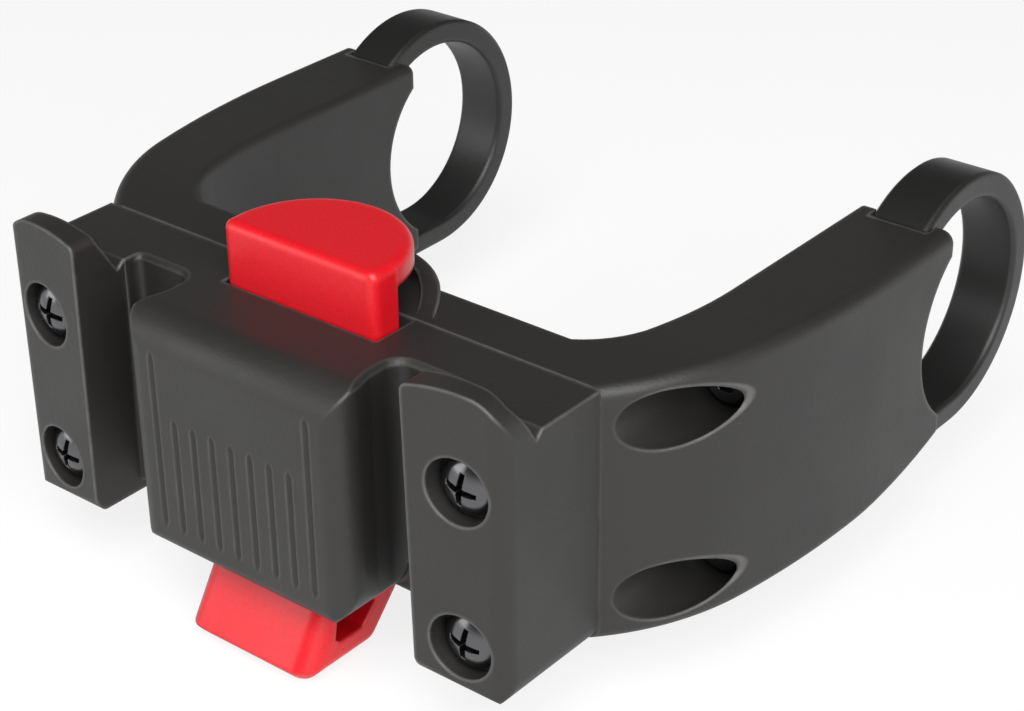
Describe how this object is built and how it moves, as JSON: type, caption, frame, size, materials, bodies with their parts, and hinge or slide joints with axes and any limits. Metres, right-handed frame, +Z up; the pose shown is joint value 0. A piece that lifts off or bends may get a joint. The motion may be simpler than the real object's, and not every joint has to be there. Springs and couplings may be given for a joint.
{
  "type": "bicycle handlebar bag mount",
  "caption": "Quick-release bracket that clamps to a handlebar with screw-drawn straps and holds a bag's plate between rail flanges with a sprung push-down latch hook.",
  "frame": {"origin": "on the handlebar's axis, midway between the arms", "axes": "+X along the handlebar, +Y from the bag side towards the rider, +Z up"},
  "size_m": [0.1148, 0.1152, 0.057],
  "materials": {
    "housing_plastic": "satin with a fine mould grain",
    "yoke_plastic": "satin with a fine mould grain",
    "strap_plastic": "satin, smooth",
    "release_plastic": "satin, smooth",
    "screw_steel": "glossy black",
    "nut_steel": "zinc plated",
    "spring_steel": "bright wire"
  },
  "bodies": {
    "bracket": {"housing": "housing_plastic", "yoke": "yoke_plastic", "return_spring": "spring_steel", "assembly_screw_left_upper": "screw_steel", "assembly_screw_left_lower": "screw_steel", "assembly_screw_right_upper": "screw_steel", "assembly_screw_right_lower": "screw_steel"},
    "release": {"release_slider": "release_plastic"},
    "strap_left": {"strap_left": "strap_plastic", "clamp_nut_left_upper": "nut_steel", "clamp_nut_left_lower": "nut_steel"},
    "clamp_screw_left_upper": {"clamp_screw_left_upper": "screw_steel"},
    "clamp_screw_left_lower": {"clamp_screw_left_lower": "screw_steel"},
    "strap_right": {"strap_right": "strap_plastic", "clamp_nut_right_upper": "nut_steel", "clamp_nut_right_lower": "nut_steel"},
    "clamp_screw_right_upper": {"clamp_screw_right_upper": "screw_steel"},
    "clamp_screw_right_lower": {"clamp_screw_right_lower": "screw_steel"}
  },
  "joints": [
    {"name": "release_press", "type": "slide", "parent": "bracket", "child": "release", "axis": [0, 0, -1], "range_m": [0, 0.005], "stiffness_N_per_m": 600, "springref_m": -0.005, "deforming": ["return_spring"]},
    {"name": "strap_left_draw", "type": "slide", "parent": "bracket", "child": "strap_left", "axis": [0, 1, 0], "range_m": [0, 0.0015]},
    {"name": "clamp_screw_left_upper_turn", "type": "hinge", "parent": "bracket", "child": "clamp_screw_left_upper", "pos_m": [-0.0497, -0.05, 0.01], "axis": [0, -1, 0], "range_deg": [0, 771.5]},
    {"name": "clamp_screw_left_lower_turn", "type": "hinge", "parent": "bracket", "child": "clamp_screw_left_lower", "pos_m": [-0.0497, -0.05, -0.016], "axis": [0, -1, 0], "range_deg": [0, 771.5]},
    {"name": "strap_right_draw", "type": "slide", "parent": "bracket", "child": "strap_right", "axis": [0, 1, 0], "range_m": [0, 0.0015]},
    {"name": "clamp_screw_right_upper_turn", "type": "hinge", "parent": "bracket", "child": "clamp_screw_right_upper", "pos_m": [0.0497, -0.05, 0.01], "axis": [0, -1, 0], "range_deg": [0, 771.5]},
    {"name": "clamp_screw_right_lower_turn", "type": "hinge", "parent": "bracket", "child": "clamp_screw_right_lower", "pos_m": [0.0497, -0.05, -0.016], "axis": [0, -1, 0], "range_deg": [0, 771.5]}
  ],
  "couplings": [
    {"joint": "clamp_screw_left_upper_turn", "follows": "strap_left_draw", "rad_per_m": 8976},
    {"joint": "clamp_screw_left_lower_turn", "follows": "strap_left_draw", "rad_per_m": 8976},
    {"joint": "clamp_screw_right_upper_turn", "follows": "strap_right_draw", "rad_per_m": 8976},
    {"joint": "clamp_screw_right_lower_turn", "follows": "strap_right_draw", "rad_per_m": 8976}
  ]
}
